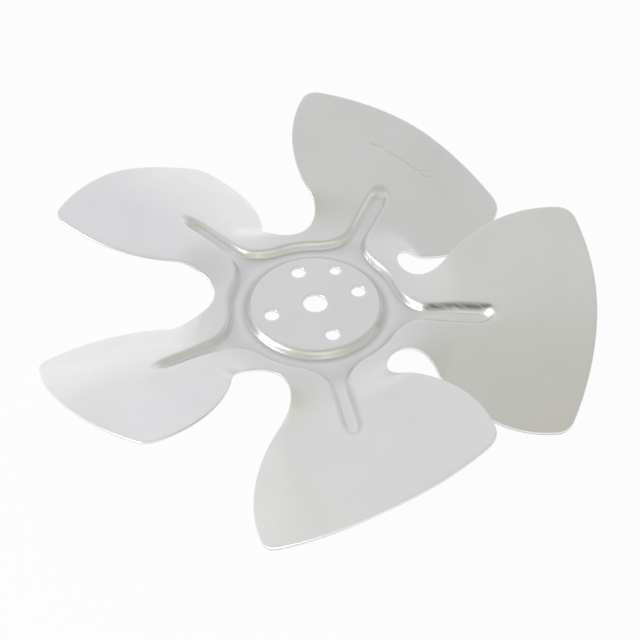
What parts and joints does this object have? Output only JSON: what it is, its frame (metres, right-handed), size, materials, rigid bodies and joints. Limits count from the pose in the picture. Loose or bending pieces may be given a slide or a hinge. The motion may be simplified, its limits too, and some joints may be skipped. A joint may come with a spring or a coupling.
{
  "type": "axial fan impeller",
  "caption": "Axial fan impeller pressed from one aluminium sheet: twisted blades with ribs, and a drilled flat disc that bolts to a motor's rotor.",
  "frame": {"origin": "centre of the shaft hole on the underside of the mounting disc", "axes": "+Z along the shaft axis, out of the disc's upper face; +X along the rib of the blade that stands over the locating hole"},
  "size_m": [0.1958, 0.1985, 0.0346],
  "materials": {
    "aluminium": "mill finish sheet, satin, with faint rolling grain"
  },
  "bodies": {
    "root": {"impeller": "aluminium"}
  },
  "joints": []
}
